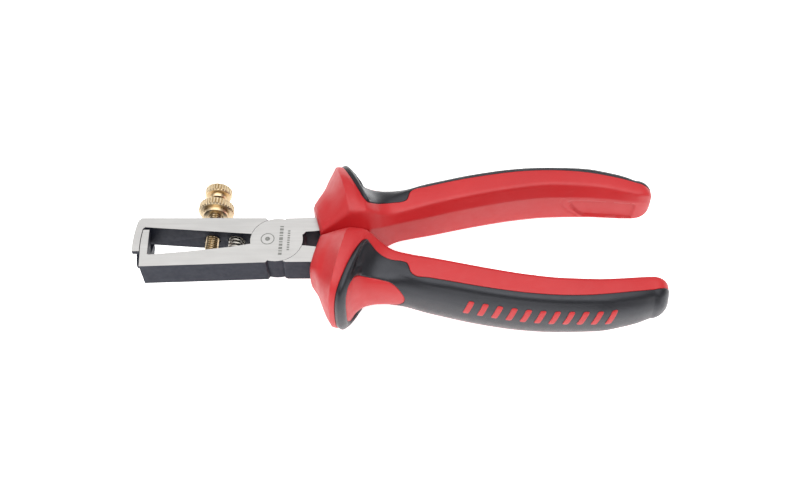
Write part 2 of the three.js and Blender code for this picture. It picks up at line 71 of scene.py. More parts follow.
class Shader:
    """A small wrapper that builds one procedural material."""

    def __init__(self, name):
        self.mat = bpy.data.materials.new(name)
        self.mat.use_nodes = True
        self.tree = self.mat.node_tree
        self.bsdf = next(n for n in self.tree.nodes if n.type == "BSDF_PRINCIPLED")
        coord = self.add("ShaderNodeTexCoord")
        self.place = coord.outputs["Object"]

    def add(self, kind, **settings):
        node = self.tree.nodes.new(kind)
        for key, value in settings.items():
            setattr(node, key, value)
        return node

    def link(self, a, b):
        self.tree.links.new(a, b)

    def set(self, **values):
        for key, value in values.items():
            self.bsdf.inputs[key.replace("_", " ")].default_value = value

    def noise(self, scale, stretch=(1, 1, 1), detail=4.0, rough=0.55, source=None):
        mapping = self.add("ShaderNodeMapping")
        mapping.inputs["Scale"].default_value = stretch
        self.link(source or self.place, mapping.inputs["Vector"])
        node = self.add("ShaderNodeTexNoise")
        node.inputs["Scale"].default_value = scale
        node.inputs["Detail"].default_value = detail
        node.inputs["Roughness"].default_value = rough
        self.link(mapping.outputs[0], node.inputs["Vector"])
        return node.outputs["Fac"]

    def ramp(self, source, stops):
        node = self.add("ShaderNodeValToRGB")
        elements = node.color_ramp.elements
        while len(elements) < len(stops):
            elements.new(0.5)
        for element, (at, colour) in zip(elements, stops):
            element.position = at
            if isinstance(colour, (int, float)):
                colour = (colour, colour, colour)
            element.color = (*colour[:3], 1)
        self.link(source, node.inputs["Fac"])
        return node.outputs["Color"]

    def span(self, source, low, high, frm=0.0, to=1.0):
        node = self.add("ShaderNodeMapRange")
        node.inputs["From Min"].default_value = low
        node.inputs["From Max"].default_value = high
        node.inputs["To Min"].default_value = frm
        node.inputs["To Max"].default_value = to
        self.link(source, node.inputs["Value"])
        return node.outputs["Result"]

    def mix(self, factor, a, b, kind="MIX"):
        node = self.add("ShaderNodeMix", data_type="RGBA", blend_type=kind)
        self.link(factor, node.inputs["Factor"])
        for value, socket in ((a, node.inputs[6]), (b, node.inputs[7])):
            if isinstance(value, tuple):
                socket.default_value = (*value[:3], 1)
            else:
                self.link(value, socket)
        return node.outputs[2]

    def math(self, operation, a, b=None):
        node = self.add("ShaderNodeMath", operation=operation)
        for value, socket in ((a, node.inputs[0]), (b, node.inputs[1])):
            if value is None:
                continue
            if isinstance(value, (int, float)):
                socket.default_value = value
            else:
                self.link(value, socket)
        return node.outputs[0]

    def edge(self, low=0.5, high=0.6):
        """Convex edges of the mesh, for wear on the oxide and a painted highlight on the brass;
        turned over, the hollows for painted shade.
        """
        geometry = self.add("ShaderNodeNewGeometry")
        return self.span(geometry.outputs["Pointiness"], low, high)

    def bump(self, height, distance, strength=1.0, under=None):
        node = self.add("ShaderNodeBump")
        node.inputs["Strength"].default_value = strength
        node.inputs["Distance"].default_value = distance
        self.link(height, node.inputs["Height"])
        if under is not None:
            self.link(under, node.inputs["Normal"])
        return node.outputs["Normal"]

    def out(self, colour=None, roughness=None, normal=None):
        if colour is not None:
            self.link(colour, self.bsdf.inputs["Base Color"])
        if roughness is not None:
            self.link(roughness, self.bsdf.inputs["Roughness"])
        if normal is not None:
            self.link(normal, self.bsdf.inputs["Normal"])
        return self.mat


def red_plastic():
    s = Shader("red_plastic")
    s.set(Specular_IOR_Level=0.55)
    cloud = s.noise(60, detail=3)
    grain = s.noise(2600, detail=3)
    pits = s.noise(9000, detail=2)
    colour = s.ramp(cloud, [(0.3, (0.46, 0.0095, 0.0125)), (0.7, (0.50, 0.0125, 0.0155))])
    scuff = s.span(s.noise(900, stretch=(0.2, 1, 1), detail=4), 0.60, 0.75)
    colour = s.mix(s.math("MULTIPLY", scuff, 0.25), colour, (0.56, 0.035, 0.04))
    rough = s.span(s.noise(420, detail=5), 0.3, 0.7, 0.40, 0.52)
    normal = s.bump(grain, 0.00004, 0.35)
    normal = s.bump(pits, 0.00001, 0.3, normal)
    return s.out(colour, rough, normal)


def black_soft():
    s = Shader("black_soft")
    s.set(Specular_IOR_Level=0.55, Specular_Tint=(0.90, 0.92, 1.0, 1))
    cloud = s.noise(70, detail=3)
    grain = s.noise(4200, detail=2, rough=0.7)
    colour = s.ramp(cloud, [(0.3, (0.0045, 0.0045, 0.006)), (0.7, (0.007, 0.007, 0.009))])
    speck = s.span(s.noise(3800, detail=2), 0.58, 0.72)
    colour = s.mix(s.math("MULTIPLY", speck, 0.5), colour, (0.018, 0.018, 0.022))
    rough = s.span(s.noise(500, detail=4), 0.3, 0.7, 0.30, 0.40)
    normal = s.bump(grain, 0.00009, 0.5)
    return s.out(colour, rough, normal)


def ground_steel():
    s = Shader("ground_steel")
    s.set(Metallic=1.0)
    lines = s.noise(900, stretch=(0.045, 1.0, 0.3), detail=5, rough=0.7)
    fine = s.noise(3600, stretch=(0.03, 1.0, 0.3), detail=3, rough=0.6)
    cloud = s.noise(110, stretch=(0.5, 1, 1), detail=4)
    colour = s.ramp(cloud, [(0.3, (0.465, 0.458, 0.448)), (0.7, (0.53, 0.522, 0.512))])
    streak = s.span(lines, 0.35, 0.65)
    colour = s.mix(s.math("MULTIPLY", streak, 0.35), colour, (0.42, 0.413, 0.405))
    rough = s.span(fine, 0.3, 0.7, 0.34, 0.50)
    normal = s.bump(lines, 0.00001, 0.35)
    normal = s.bump(fine, 0.000004, 0.4, normal)
    return s.out(colour, rough, normal)


def black_oxide():
    s = Shader("black_oxide")
    s.set(Specular_IOR_Level=0.22, Specular_Tint=(0.78, 0.84, 1.0, 1))
    cloud = s.noise(240, detail=5)
    colour = s.ramp(cloud, [(0.3, (0.0045, 0.0052, 0.011)), (0.7, (0.0085, 0.0095, 0.018))])
    wear = s.edge(0.515, 0.60)
    colour = s.mix(s.math("MULTIPLY", wear, 0.4), colour, (0.05, 0.052, 0.065))
    rough = s.span(s.noise(700, detail=4), 0.3, 0.7, 0.42, 0.60)
    normal = s.bump(s.noise(1500, detail=4), 0.00004, 0.4)
    return s.out(colour, rough, normal)


def brass():
    s = Shader("brass")
    s.set(Metallic=1.0)
    cloud = s.noise(300, detail=4)
    colour = s.ramp(cloud, [(0.3, (0.60, 0.455, 0.27)), (0.7, (0.74, 0.60, 0.40))])
    lines = s.noise(1800, stretch=(1, 0.12, 1), detail=3)
    # painted highlight: convex edges and crests are made a lighter brass
    colour = s.mix(s.math("MULTIPLY", s.edge(0.5, 0.6), 0.5), colour, (0.84, 0.68, 0.46))
    # painted shade: hollows and grooves are made a dark brown
    groove = s.math("SUBTRACT", 1.0, s.edge(0.40, 0.49))
    colour = s.mix(s.math("MULTIPLY", groove, 0.75), colour, (0.20, 0.12, 0.05))
    rough = s.span(lines, 0.3, 0.7, 0.26, 0.42)
    normal = s.bump(lines, 0.00001, 0.4)
    return s.out(colour, rough, normal)


def brass_painted_root_shade():
    """A dark brass for the thread's root: painted shade in the groove."""
    s = Shader("brass_painted_root_shade")
    s.set(Metallic=0.8)
    cloud = s.noise(500, detail=4)
    # dark brown colour that stands in for the shade in the thread's root
    colour = s.ramp(cloud, [(0.3, (0.10, 0.058, 0.02)), (0.7, (0.20, 0.12, 0.045))])
    rough = s.span(s.noise(1500, detail=3), 0.3, 0.7, 0.45, 0.60)
    return s.out(colour, rough, s.bump(cloud, 0.00001, 0.4))


def spring_wire():
    s = Shader("spring_wire")
    s.set(Metallic=1.0)
    cloud = s.noise(500, detail=4)
    colour = s.ramp(cloud, [(0.3, (0.36, 0.34, 0.31)), (0.7, (0.55, 0.52, 0.47))])
    rough = s.span(s.noise(2500, detail=3), 0.3, 0.7, 0.22, 0.40)
    normal = s.bump(s.noise(3000, detail=2), 0.00001, 0.4)
    return s.out(colour, rough, normal)


def etched():
    s = Shader("etched")
    s.set(Metallic=0.6)
    cloud = s.noise(2500, detail=4)
    colour = s.ramp(cloud, [(0.3, (0.17, 0.175, 0.165)), (0.7, (0.26, 0.265, 0.25))])
    rough = s.span(s.noise(1800, detail=3), 0.3, 0.7, 0.50, 0.68)
    return s.out(colour, rough, s.bump(cloud, 0.00001, 0.4))


def floor_paper():
    s = Shader("floor_paper")
    cloud = s.noise(6, detail=3)
    colour = s.ramp(cloud, [(0.3, (0.93, 0.93, 0.93)), (0.7, (0.96, 0.96, 0.96))])
    rough = s.span(s.noise(40, detail=4), 0.3, 0.7, 0.85, 0.95)
    s.set(Emission_Color=(1, 1, 1, 1), Emission_Strength=0.8)
    return s.out(colour, rough, s.bump(s.noise(900, detail=3), 0.00002, 0.3))


RED = red_plastic()
BLACK = black_soft()
GROUND = ground_steel()
OXIDE = black_oxide()
BRASS = brass()
BRASS_PAINTED_ROOT_SHADE = brass_painted_root_shade()
WIRE = spring_wire()
ETCH = etched()


# ------------------------------------------------------------------ mesh helpers

def make_piece(name, bm, materials, body, nodes=(), sharp=None):
    """Turns a bmesh in millimetres into a piece that rides on a body."""
    bmesh.ops.scale(bm, vec=(MM, MM, MM), verts=bm.verts)
    bmesh.ops.recalc_face_normals(bm, faces=bm.faces)
    for face in bm.faces:
        face.smooth = True
    if sharp is not None:
        for e in bm.edges:
            if len(e.link_faces) == 2 and e.calc_face_angle(0) > math.radians(sharp):
                e.smooth = False
    mesh = bpy.data.meshes.new(name)
    bm.to_mesh(mesh)
    bm.free()
    obj = bpy.data.objects.new(name, mesh)
    bpy.context.scene.collection.objects.link(obj)
    for material in materials if isinstance(materials, list) else [materials]:
        mesh.materials.append(material)
    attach(obj, body)
    if nodes:
        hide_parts(*nodes)
    return obj


def grid_body(rings, closed_ends=True):
    """A closed bmesh through rings of equal length."""
    bm = bmesh.new()
    rows = [[bm.verts.new(tuple(p)) for p in ring] for ring in rings]
    n = len(rows[0])
    for a, b in zip(rows, rows[1:]):
        for i in range(n):
            j = (i + 1) % n
            bm.faces.new((a[i], a[j], b[j], b[i]))
    if closed_ends:
        for row in (rows[0], rows[-1]):
            centre = bm.verts.new(sum((v.co for v in row), Vector()) / n)
            for i in range(n):
                bm.faces.new((row[i], row[(i + 1) % n], centre))
    return bm


def turned_rings(profile, x, z, sides=64):
    """Rings about an axis along Y through x, z; profile is [radius, y]."""
    rings = []
    for r, y in profile:
        ts = [i / sides * 2 * math.pi for i in range(sides)]
        rings.append([(x + r * math.sin(t), y, z + r * math.cos(t)) for t in ts])
    return rings


def hermite(at, known, values):
    """Smooth curve through the rows of values at the places in known."""
    known = np.asarray(known, float)
    values = np.asarray(values, float)
    steps = np.diff(known)[:, None]
    slopes = np.diff(values, axis=0) / steps
    tangent = np.zeros_like(values)
    tangent[0], tangent[-1] = slopes[0], slopes[-1]
    w0, w1 = steps[1:], steps[:-1]
    mid = (slopes[:-1] * w0 + slopes[1:] * w1) / (w0 + w1)
    # keeps a run of equal values flat, and a turning point from overshooting
    mid[slopes[:-1] * slopes[1:] <= 0] *= 0.25
    tangent[1:-1] = mid
    k = np.clip(np.searchsorted(known, at, side="right") - 1, 0, len(known) - 2)
    h = (known[k + 1] - known[k])[:, None]
    t = ((at - known[k]) / h[:, 0])[:, None]
    a = 2 * t**3 - 3 * t**2 + 1
    b = t**3 - 2 * t**2 + t
    c = -2 * t**3 + 3 * t**2
    d = t**3 - t**2
    return a * values[k] + b * h * tangent[k] + c * values[k + 1] + d * h * tangent[k + 1]


def smoothstep(a, b, t):
    s = np.clip((t - a) / (b - a), 0, 1)
    return s * s * (3 - 2 * s)


# ------------------------------------------------------------------ handles

# Sections of the handle: place along the middle line, slant, height of the section's
# middle, inner face and its half height, then ridge, crown, shoulder and back corner as
# (out, up), the outermost point, the half height of the flat there, and how far the
# shoulder's rounding reaches. All in millimetres.
GUARD_CREST = (
    23.1, -0.26, 0, 0.4, 7.8, 2.7, 13.5, 6.1, 15.9, 14.1, 15.9, 22.2, 11.6, 25.0, 5.2, 9,
)
FRONT = [
    (13.5, -0.26, 0, 0.4, 4.5, 0.5, 6.7, 2.6, 6.8, 7.6, 6.9, 11.2, 5.6, 12.1, 3.4, 9),
    (16.0, -0.26, 0, 0.4, 5.4, 1.05, 8.55, 3.2, 9.0, 9.0, 9.2, 13.7, 7.3, 14.6, 3.8, 9),
    (18.5, -0.26, 0, 0.4, 6.2, 1.6, 10.4, 4.0, 11.3, 10.4, 11.0, 16.2, 8.0, 18.7, 4.4, 9),
    (21.3, -0.26, 0, 0.4, 7.1, 2.3, 12.4, 5.2, 14.1, 12.6, 13.8, 19.9, 9.8, 23.0, 5.0, 9),
    GUARD_CREST,
]
BACK = [
    GUARD_CREST,
    (24.4, -0.26, 0, 0.45, 7.8, 2.85, 13.5, 6.3, 15.5, 14.2, 15.6, 22.6, 11.4, 25.3, 5.2, 9),
    (26.2, -0.26, 0, 0.55, 7.6, 3.1, 13.5, 6.5, 14.9, 13.4, 15.1, 22.2, 11.0, 25.0, 5.2, 9),
    (27.4, -0.26, 0, 0.7, 7.4, 3.3, 13.4, 6.7, 14.3, 12.4, 14.5, 21.1, 10.3, 24.3, 5.0, 9),
    (28.7, -0.26, 0, 1.0, 7.2, 3.6, 12.9, 6.9, 13.6, 11.2, 13.6, 18.6, 9.2, 21.3, 4.6, 9),
    (30.2, -0.26, -0.1, 1.8, 6.8, 4.1, 11.9, 7.2, 12.3, 10.3, 12.2, 17.4, 8.3, 19.8, 4.0, 9),
    (33.0, -0.26, -0.25, 3.2, 5.6, 5.3, 9.7, 7.8, 9.8, 10.8, 9.7, 16.8, 7.2, 18.9, 3.2, 8),
    (37.0, -0.26, -0.45, 5.0, 4.9, 6.9, 8.2, 9.0, 8.4, 12.4, 8.4, 16.7, 6.7, 18.5, 2.8, 6),
    (42.5, -0.26, -0.65, 6.55, 4.85, 8.45, 8.5, 11.0, 8.6, 14.9, 8.6, 17.4, 6.4, 18.9, 2.4, 4),
    (48.0, -0.26, -0.75, 7.85, 4.95, 9.8, 9.1, 13.0, 9.1, 17.4, 8.65, 19.3, 5.5, 20.1, 2.2, 2.5),
    (56.0, -0.26, -0.83, 9.85, 5.05, 11.65, 9.5, 15.0, 9.5, 19.4, 9.15, 21.2, 5.4, 21.9, 2.2, 1.9),
    (66.0, -0.22, -0.85, 12.25, 5.05, 14.0, 9.7, 17.3, 9.65, 21.8, 9.35, 23.6, 5.5, 24.3, 2.2, 1.7),
    (76.0, -0.14, -0.85, 14.4, 5.05, 16.1, 9.7, 19.3, 9.65, 23.7, 9.4, 25.6, 5.5, 26.3, 2.2, 1.7),
    (86.0, -0.04, -0.85, 15.5, 5.05, 17.4, 9.6, 20.3, 9.5, 24.5, 9.15, 26.5, 5.4, 27.2, 2.2, 1.7),
    (94.0, 0.06, -0.85, 15.5, 4.95, 17.35, 9.0, 19.9, 9.05, 24.1, 8.85, 26.5, 5.2, 27.2, 2.1, 1.7),
    (100.3, 0.10, -0.85, 15.1, 4.75, 16.7, 8.5, 19.0, 8.55, 22.9, 8.3, 25.3, 4.8, 26.0, 2.0, 1.6),
    (105.9, 0.06, -0.85, 14.6, 4.5, 15.85, 7.8, 18.0, 7.95, 21.9, 7.7, 24.2, 4.4, 24.9, 1.9, 1.5),
    (110.8, 0.0, -0.85, 14.3, 4.1, 15.2, 7.2, 17.2, 7.4, 20.8, 7.0, 23.0, 3.9, 23.7, 1.7, 1.5),
]
# The rounded end: how far it reaches past the last section and how far it draws in.
END_REACH = 4.9
END_INSET = 4.0
# How much further out the lower ridge lies than the upper one, along the grip, and
# the stretch over which it moves out.
LOWER_RIDGE = 1.4
LOWER_RIDGE_FROM, LOWER_RIDGE_FULL = 30.0, 44.0
# Columns of a section: all heights above its middle, and the outer points that round off
# at the front end.
HEIGHTS = [4, 6, 8, 10, 12, 14]
OUTER_POINTS = [9, 11, 13]
WAIST_ROW = 8          # the row of BACK where the guard has run out into the grip
GRIP_DROP = 0.85       # how far the grip's middle lies below the head's middle

# Plan line between the hard core and the soft cover, from the guard to the end.
COVER_LINE = [
    (16.4, 30.0),
    (18.0, 25.8),
    (18.9, 23.4),
    (20.3, 20.2),
    (21.4, 17.7),
    (23.1, 14.0),
    (24.9, 10.3),
    (26.6, 7.55),
    (27.5, 6.9),
    (28.5, 7.4),
    (30.0, 8.5),
    (32.4, 9.8),
    (35.0, 10.6),
    (37.6, 10.95),
    (39.1, 11.6),
    (39.8, 13.2),
    (40.3, 14.9),
    (41.2, 15.8),
    (45.6, 16.9),
    (50.0, 17.95),
    (56.0, 19.35),
    (65.0, 21.15),
    (74.0, 22.5),
    (85.0, 23.15),
    (92.0, 22.9),
    (98.0, 22.2),
    (104.0, 21.2),
    (108.0, 20.45),
    (112.0, 19.5),
    (115.0, 18.5),
    (124.0, 16.0),
]

# The soft cover's window over the guard, as half an outline in x and height.
WINDOW_HALF = [
    (21.6, 0.0),
    (21.6, 3.0),
    (21.7, 5.8),
    (22.0, 8.1),
    (22.5, 9.5),
    (23.3, 9.9),
    (24.7, 9.3),
    (27.0, 7.8),
    (29.9, 6.8),
    (32.3, 6.3),
    (34.4, 5.8),
    (36.3, 4.5),
    (37.7, 2.6),
    (38.4, 0.9),
    (38.5, 0.0),
]
WINDOW_FROM_OUT = 12.5
# The window's middle line droops towards the back by this much per millimetre.
WINDOW_DROOP, WINDOW_DROOP_FROM, WINDOW_DROOP_LENGTH = 0.04, 22, 16
FAR_OFF = 50.0         # a distance larger than any on the handle

# The soft cover: its thickness, how much of that goes at the narrow end, how proud it
# stands, the gap under it, and the rounding of its edge and of the core's edge beside it.
COVER_DEPTH = 1.3
COVER_THINNING, THIN_FROM, THIN_FULL = 0.9, 110.5, 115.0
COVER_PROUD = 0.1
COVER_GAP = 0.03
COVER_EDGE = 0.3
CORE_EDGE = 0.12
# Distances to the cover's edge where the mesh is cut, so that both edges can round.
CUT_LEVELS = (0.0, -CORE_EDGE, 0.06, 0.2, 0.42)
SLIVER = 0.12          # the share of an edge under which a vertex moves onto the cut

# The recessed panel on the inner face, and the line across its front.
PANEL_DEPTH, PANEL_SLOPE = 0.7, 0.4
PANEL_FRONT, PANEL_BACK = 90.0, 110.4
PANEL_TOP, PANEL_BOTTOM = 3.2, -4.2
PANEL_LINE_DEPTH, PANEL_LINE_AHEAD = 0.22, 2.2

# The cover's lip behind the guard, which fades out along the slant between these places.
LIP_RISE, LIP_GROOVE = 0.8, 0.15
LIP_FULL, LIP_GONE = 28.6, 30.5
SLANT = 0.26

# Points along each straight stretch of a section, from the inner face to the outside.
SEGMENTS = (12, 9, 6, 12, 10, 9, 5)
# The share of a side that each corner's rounding may take.
CORNER_SHARE = 0.42


def section_ring(key):
    """Half a handle section, from the inner face round to the outermost point."""
    inner, low = key[3], key[4]
    ridge, crown, shoulder, back = key[5:7], key[7:9], key[9:11], key[11:13]
    out, flat, shoulder_reach = key[13:16]
    corners = [(inner, low), ridge, crown, shoulder, back, (out, flat)]
    points = [np.array((inner, 0.0))] + [np.array(c) for c in corners]
    points.append(np.array((out, 0.0)))
    size = min(1.0, low / 3.0)
    round_by = [0.45 * size, 0.95 * size, None, shoulder_reach, None, None]
    starts, ends = [points[0]], []
    arcs = []
    for i in range(1, len(points) - 1):
        before, here, after = points[i - 1], points[i], points[i + 1]
        la, lb = np.linalg.norm(before - here), np.linalg.norm(after - here)
        reach = round_by[i - 1]
        da = CORNER_SHARE * la if reach is None else min(reach, CORNER_SHARE * la)
        db = CORNER_SHARE * lb if reach is None else min(reach, CORNER_SHARE * lb)
        if i == 6:
            db = lb * 0.98
        a = here + (before - here) / max(la, 1e-9) * da
        b = here + (after - here) / max(lb, 1e-9) * db
        ends.append(a)
        starts.append(b)
        arcs.append((a, here, b))
    ends.append(points[-1])
    line = []
    for i, (s, e) in enumerate(zip(starts, ends)):
        n = SEGMENTS[i]
        for j in range(n):
            line.append(s + (e - s) * j / n)
        if i < len(arcs):
            a, m, b = arcs[i]
            count = 4 if i < 2 else 8
            for j in range(count):
                t = j / count
                line.append(a * (1 - t) ** 2 + m * 2 * t * (1 - t) + b * t * t)
    line.append(points[-1])
    return np.array(line)


def drawn_in(key, by, ahead):
    """A section moved along and drawn in on all sides, for the rounded ends."""
    part = (0, 0, 0, 0.6, -0.85, 0.45, -0.95, 0.1, -1, -0.6, -1, -1, -0.6, -1, -0.4, 0)
    key = key + np.array(part) * by
    key[0] += ahead
    return key


def handle_rows():
    """All sections in order, smoothly interpolated, crisp at the guard's crest."""
    front = np.array(FRONT, float)
    at = np.linspace(FRONT[0][0], GUARD_CREST[0], 26)
    values = hermite(at, front[:, 0], front)
    rows = []
    for shrink, ahead in ((0.55, -0.02), (0.2, 0.04)):
        ring = values[0].copy()
        ring[HEIGHTS] -= shrink
        ring[OUTER_POINTS] -= shrink
        ring[0] += ahead
        rows.append(ring)
    values[0][0] += 0.35
    rows += list(values[:-1])
    back = np.array(BACK, float)
    length = np.hypot(np.diff(back[:, 0]), np.diff(back[:, 13]) * 0.8)
    length = np.hypot(length, np.diff(back[:, 6]))
    known = np.concatenate([[0], np.cumsum(length)])
    waist = known[WAIST_ROW]
    at = np.concatenate([
        np.linspace(0, waist, 75)[:-1],
        np.linspace(waist, known[-1], 165),
    ])
    rows += list(hermite(at, known, back))
    last = rows[-1]
    for step in range(1, 11):
        turn = step / 10 * math.pi / 2
        inset = END_INSET * (1 - math.cos(turn))
        rows.append(drawn_in(last, inset, END_REACH * math.sin(turn)))
    return rows


def handle_grid():
    """The whole handle surface as arrays: along x, out from the middle, up."""
    grid = []
    for key in handle_rows():
        half = section_ring(key)
        under = key.copy()
        under[5] += LOWER_RIDGE * smoothstep(LOWER_RIDGE_FROM, LOWER_RIDGE_FULL, key[0])
        under = section_ring(under)
        ring = np.concatenate([half, under[-2:0:-1] * (1, -1)])
        x = key[0] + key[1] * ring[:, 0]
        grid.append(np.column_stack([x, ring[:, 0], ring[:, 1] + key[2]]))
    return np.array(grid)


def smooth_line(points, steps=14):
    points = np.array(points, float)
    length = np.hypot(*np.diff(points, axis=0).T)
    known = np.concatenate([[0], np.cumsum(length)])
    at = np.linspace(0, known[-1], (len(points) - 1) * steps)
    return hermite(at, known, points)


def line_distance(p, line):
    """Distance from each point to a line of points."""
    best = np.full(len(p), 1e9)
    for s, e in zip(line[:-1], line[1:]):
        d = e - s
        t = np.clip(((p - s) @ d) / max(d @ d, 1e-12), 0, 1)
        gap = p - (s + t[:, None] * d)
        best = np.minimum(best, np.hypot(gap[:, 0], gap[:, 1]))
    return best


def is_inside(p, outline):
    """Which points lie inside a closed outline."""
    result = np.zeros(len(p), bool)
    x, y = p[:, 0], p[:, 1]
    for (xa, ya), (xb, yb) in zip(outline, np.roll(outline, -1, axis=0)):
        if ya == yb:
            continue
        crossed = (ya > y) != (yb > y)
        result ^= crossed & (x < (xb - xa) * (y - ya) / (yb - ya) + xa)
    return result


def cover_field(p):
    """Positive where the soft cover lies: a distance in millimetres to its edge."""
    line = smooth_line(COVER_LINE)
    zone = np.concatenate([line, [(140, 60), (0, 60)]])
    plan = p[:, :2]
    field = line_distance(plan, line) * np.where(is_inside(plan, zone), 1, -1)
    half = smooth_line(WINDOW_HALF)
    outline = np.concatenate([half, half[::-1] * (1, -1)])
    along = np.clip(p[:, 0] - WINDOW_DROOP_FROM, 0, WINDOW_DROOP_LENGTH)
    middle = -WINDOW_DROOP * along
    face = np.column_stack([p[:, 0], p[:, 2] - middle])
    window = line_distance(face, outline) * np.where(is_inside(face, outline), -1, 1)
    window = np.where(p[:, 1] > WINDOW_FROM_OUT, window, FAR_OFF)
    return np.minimum(field, window)


def split_at(bm, layer, level, kept):
    """Cuts the mesh along the line where the field equals a level."""
    level = float(np.float32(level))
    for v in bm.verts:
        value = v[layer] - level
        if abs(value) < 1e-6:
            v[layer] = level
    # a vertex close to the line is moved onto it, so no sliver is left
    for v in bm.verts:
        value = v[layer] - level
        if value == 0 or v[layer] in kept:
            continue
        best = None
        for e in v.link_edges:
            other = e.other_vert(v)[layer] - level
            if value * other < 0:
                t = value / (value - other)
                if t < SLIVER and (best is None or t < best[0]):
                    best = (t, e.other_vert(v))
        if best:
            v.co = v.co.lerp(best[1].co, best[0])
            v[layer] = level
    for e in list(bm.edges):
        a, b = e.verts
        fa, fb = a[layer] - level, b[layer] - level
        if fa * fb < 0:
            _, new = bmesh.utils.edge_split(e, a, fa / (fa - fb))
            new[layer] = level
    for f in list(bm.faces):
        on = [v for v in f.verts if v[layer] == level]
        if len(on) < 2:
            continue
        low = any(v[layer] < level for v in f.verts)
        high = any(v[layer] > level for v in f.verts)
        if not (low and high):
            continue
        n = len(f.verts)
        order = list(f.verts)
        pairs = [(a, b) for a in on for b in on if order.index(a) < order.index(b)]
        for a, b in pairs:
            gap = (order.index(b) - order.index(a)) % n
            if 1 < gap < n - 1:
                bmesh.utils.face_split(f, a, b)
                break


def edge_drop(t, radius):
    """How far a rounded edge lies under its face, t millimetres from the edge."""
    t = max(0.0, min(t, radius))
    return radius - math.sqrt(max(radius * radius - (radius - t) ** 2, 0.0))


def handle_base():
    """One handle's surface in its own frame, cut along the cover's edge."""
    grid = handle_grid()
    rows, n, _ = grid.shape
    points = grid.reshape(-1, 3)
    field = cover_field(points)
    bm = bmesh.new()
    layer = bm.verts.layers.float.new("field")
    verts = []
    for p, f in zip(points, field):
        v = bm.verts.new(p)
        v[layer] = f
        verts.append(v)
    for r in range(rows - 1):
        for i in range(n):
            j = (i + 1) % n
            a, b = verts[r * n + i], verts[r * n + j]
            c, d = verts[(r + 1) * n + j], verts[(r + 1) * n + i]
            bm.faces.new((a, d, c, b))
    for r, flip in ((0, False), (rows - 1, True)):
        ring = verts[r * n : (r + 1) * n]
        centre = bm.verts.new(sum((v.co for v in ring), Vector()) / n)
        centre[layer] = sum(v[layer] for v in ring) / n
        for i in range(n):
            a, b = ring[i], ring[(i + 1) % n]
            bm.faces.new((b, a, centre) if flip else (a, b, centre))
    kept = set()
    for level in CUT_LEVELS:
        split_at(bm, layer, level, kept)
        kept.update(v[layer] for v in bm.verts if abs(v[layer] - level) < 1e-6)
    bm.verts.index_update()
    bm.normal_update()
    return bm, layer


def inner_detail(co, normal):
    """Depth of the recessed panel on the inner face, and of the line at its front end."""
    if normal.y > -0.8:
        return 0.0
    up = co.z + GRIP_DROP
    front = PANEL_FRONT + 0.10 * (up - PANEL_TOP) ** 2
    inside = min(PANEL_TOP - up, up - PANEL_BOTTOM, co.x - front, PANEL_BACK - co.x)
    depth = PANEL_DEPTH * float(smoothstep(0.0, PANEL_SLOPE, inside))
    line = abs(co.x - front + PANEL_LINE_AHEAD)
    if -4.0 < up < 4.4:
        depth += PANEL_LINE_DEPTH * float(1 - smoothstep(0.1, 0.5, line))
    return depth


def lip(field, co):
    """The rounded lip that the soft cover forms behind the guard's crest."""
    x0 = co.x + SLANT * co.y
    near = float(1 - smoothstep(LIP_FULL, LIP_GONE, x0))
    width = 0.9 + 1.5 * float(smoothstep(8.0, 24.0, co.y))
    rise = float(smoothstep(0.0, 0.35 * width, field))
    rise *= float(1 - smoothstep(0.62 * width, width, field))
    groove = float(smoothstep(0.9 * width, width * 1.15, field))
    groove *= float(1 - smoothstep(width * 1.15, width * 1.9, field))
    return near * (LIP_RISE * rise - LIP_GROOVE * groove)


def cover_depth(co):
    """Thickness of the soft cover, which thins towards the handle's narrow end."""
    return COVER_DEPTH - COVER_THINNING * float(smoothstep(THIN_FROM, THIN_FULL, co.x))


def build_handle(side, body, letter):
    bm, layer = handle_base()
    core, cover = bmesh.new(), bmesh.new()
    outer, land = {}, {}
    cover_out, cover_in = {}, {}

    def place(p):
        return (p.x, HANDLE_MID_Y + side * p.y, MID_Z + p.z)

    for f in bm.faces:
        mean = sum(v[layer] for v in f.verts) / len(f.verts)
        black = mean > 0
        if not black:
            ring = []
            for v in f.verts:
                if v.index not in outer:
                    drop = edge_drop(-v[layer], CORE_EDGE) + inner_detail(v.co, v.normal)
                    outer[v.index] = core.verts.new(place(v.co - v.normal * drop))
                ring.append(outer[v.index])
            core.faces.new(ring)
            continue
        ring, top, under = [], [], []
        for v in f.verts:
            if v.index not in land:
                depth = cover_depth(v.co)
                land[v.index] = core.verts.new(place(v.co - v.normal * depth))
                t = max(v[layer], 0.0)
                rise = COVER_PROUD + lip(t, v.co) - edge_drop(t, COVER_EDGE)
                cover_out[v.index] = cover.verts.new(place(v.co + v.normal * rise))
                inside = v.co - v.normal * (depth - COVER_GAP)
                cover_in[v.index] = cover.verts.new(place(inside))
            ring.append(land[v.index])
            top.append(cover_out[v.index])
            under.append(cover_in[v.index])
        core.faces.new(ring)
        cover.faces.new(top)
        cover.faces.new(list(reversed(under)))
    for e in bm.edges:
        if len(e.link_faces) != 2:
            continue
        means = [sum(v[layer] for v in f.verts) / len(f.verts) for f in e.link_faces]
        if (means[0] > 0) == (means[1] > 0):
            continue
        a, b = (v.index for v in e.verts)
        core.faces.new((outer[a], outer[b], land[b], land[a]))
        cover.faces.new((cover_out[a], cover_out[b], cover_in[b], cover_in[a]))
    bm.free()
    name = f"handle_{letter}"
    make_piece(f"{name}_hard_core", core, RED, body,
               [f"{name}_core"], sharp=60)
    soft = make_piece(f"{name}_soft_cover", cover, BLACK, body,
                      [f"{name}_cover"], sharp=60)
    bpy.context.view_layer.update()
    grip_bars(soft, side, body, letter)


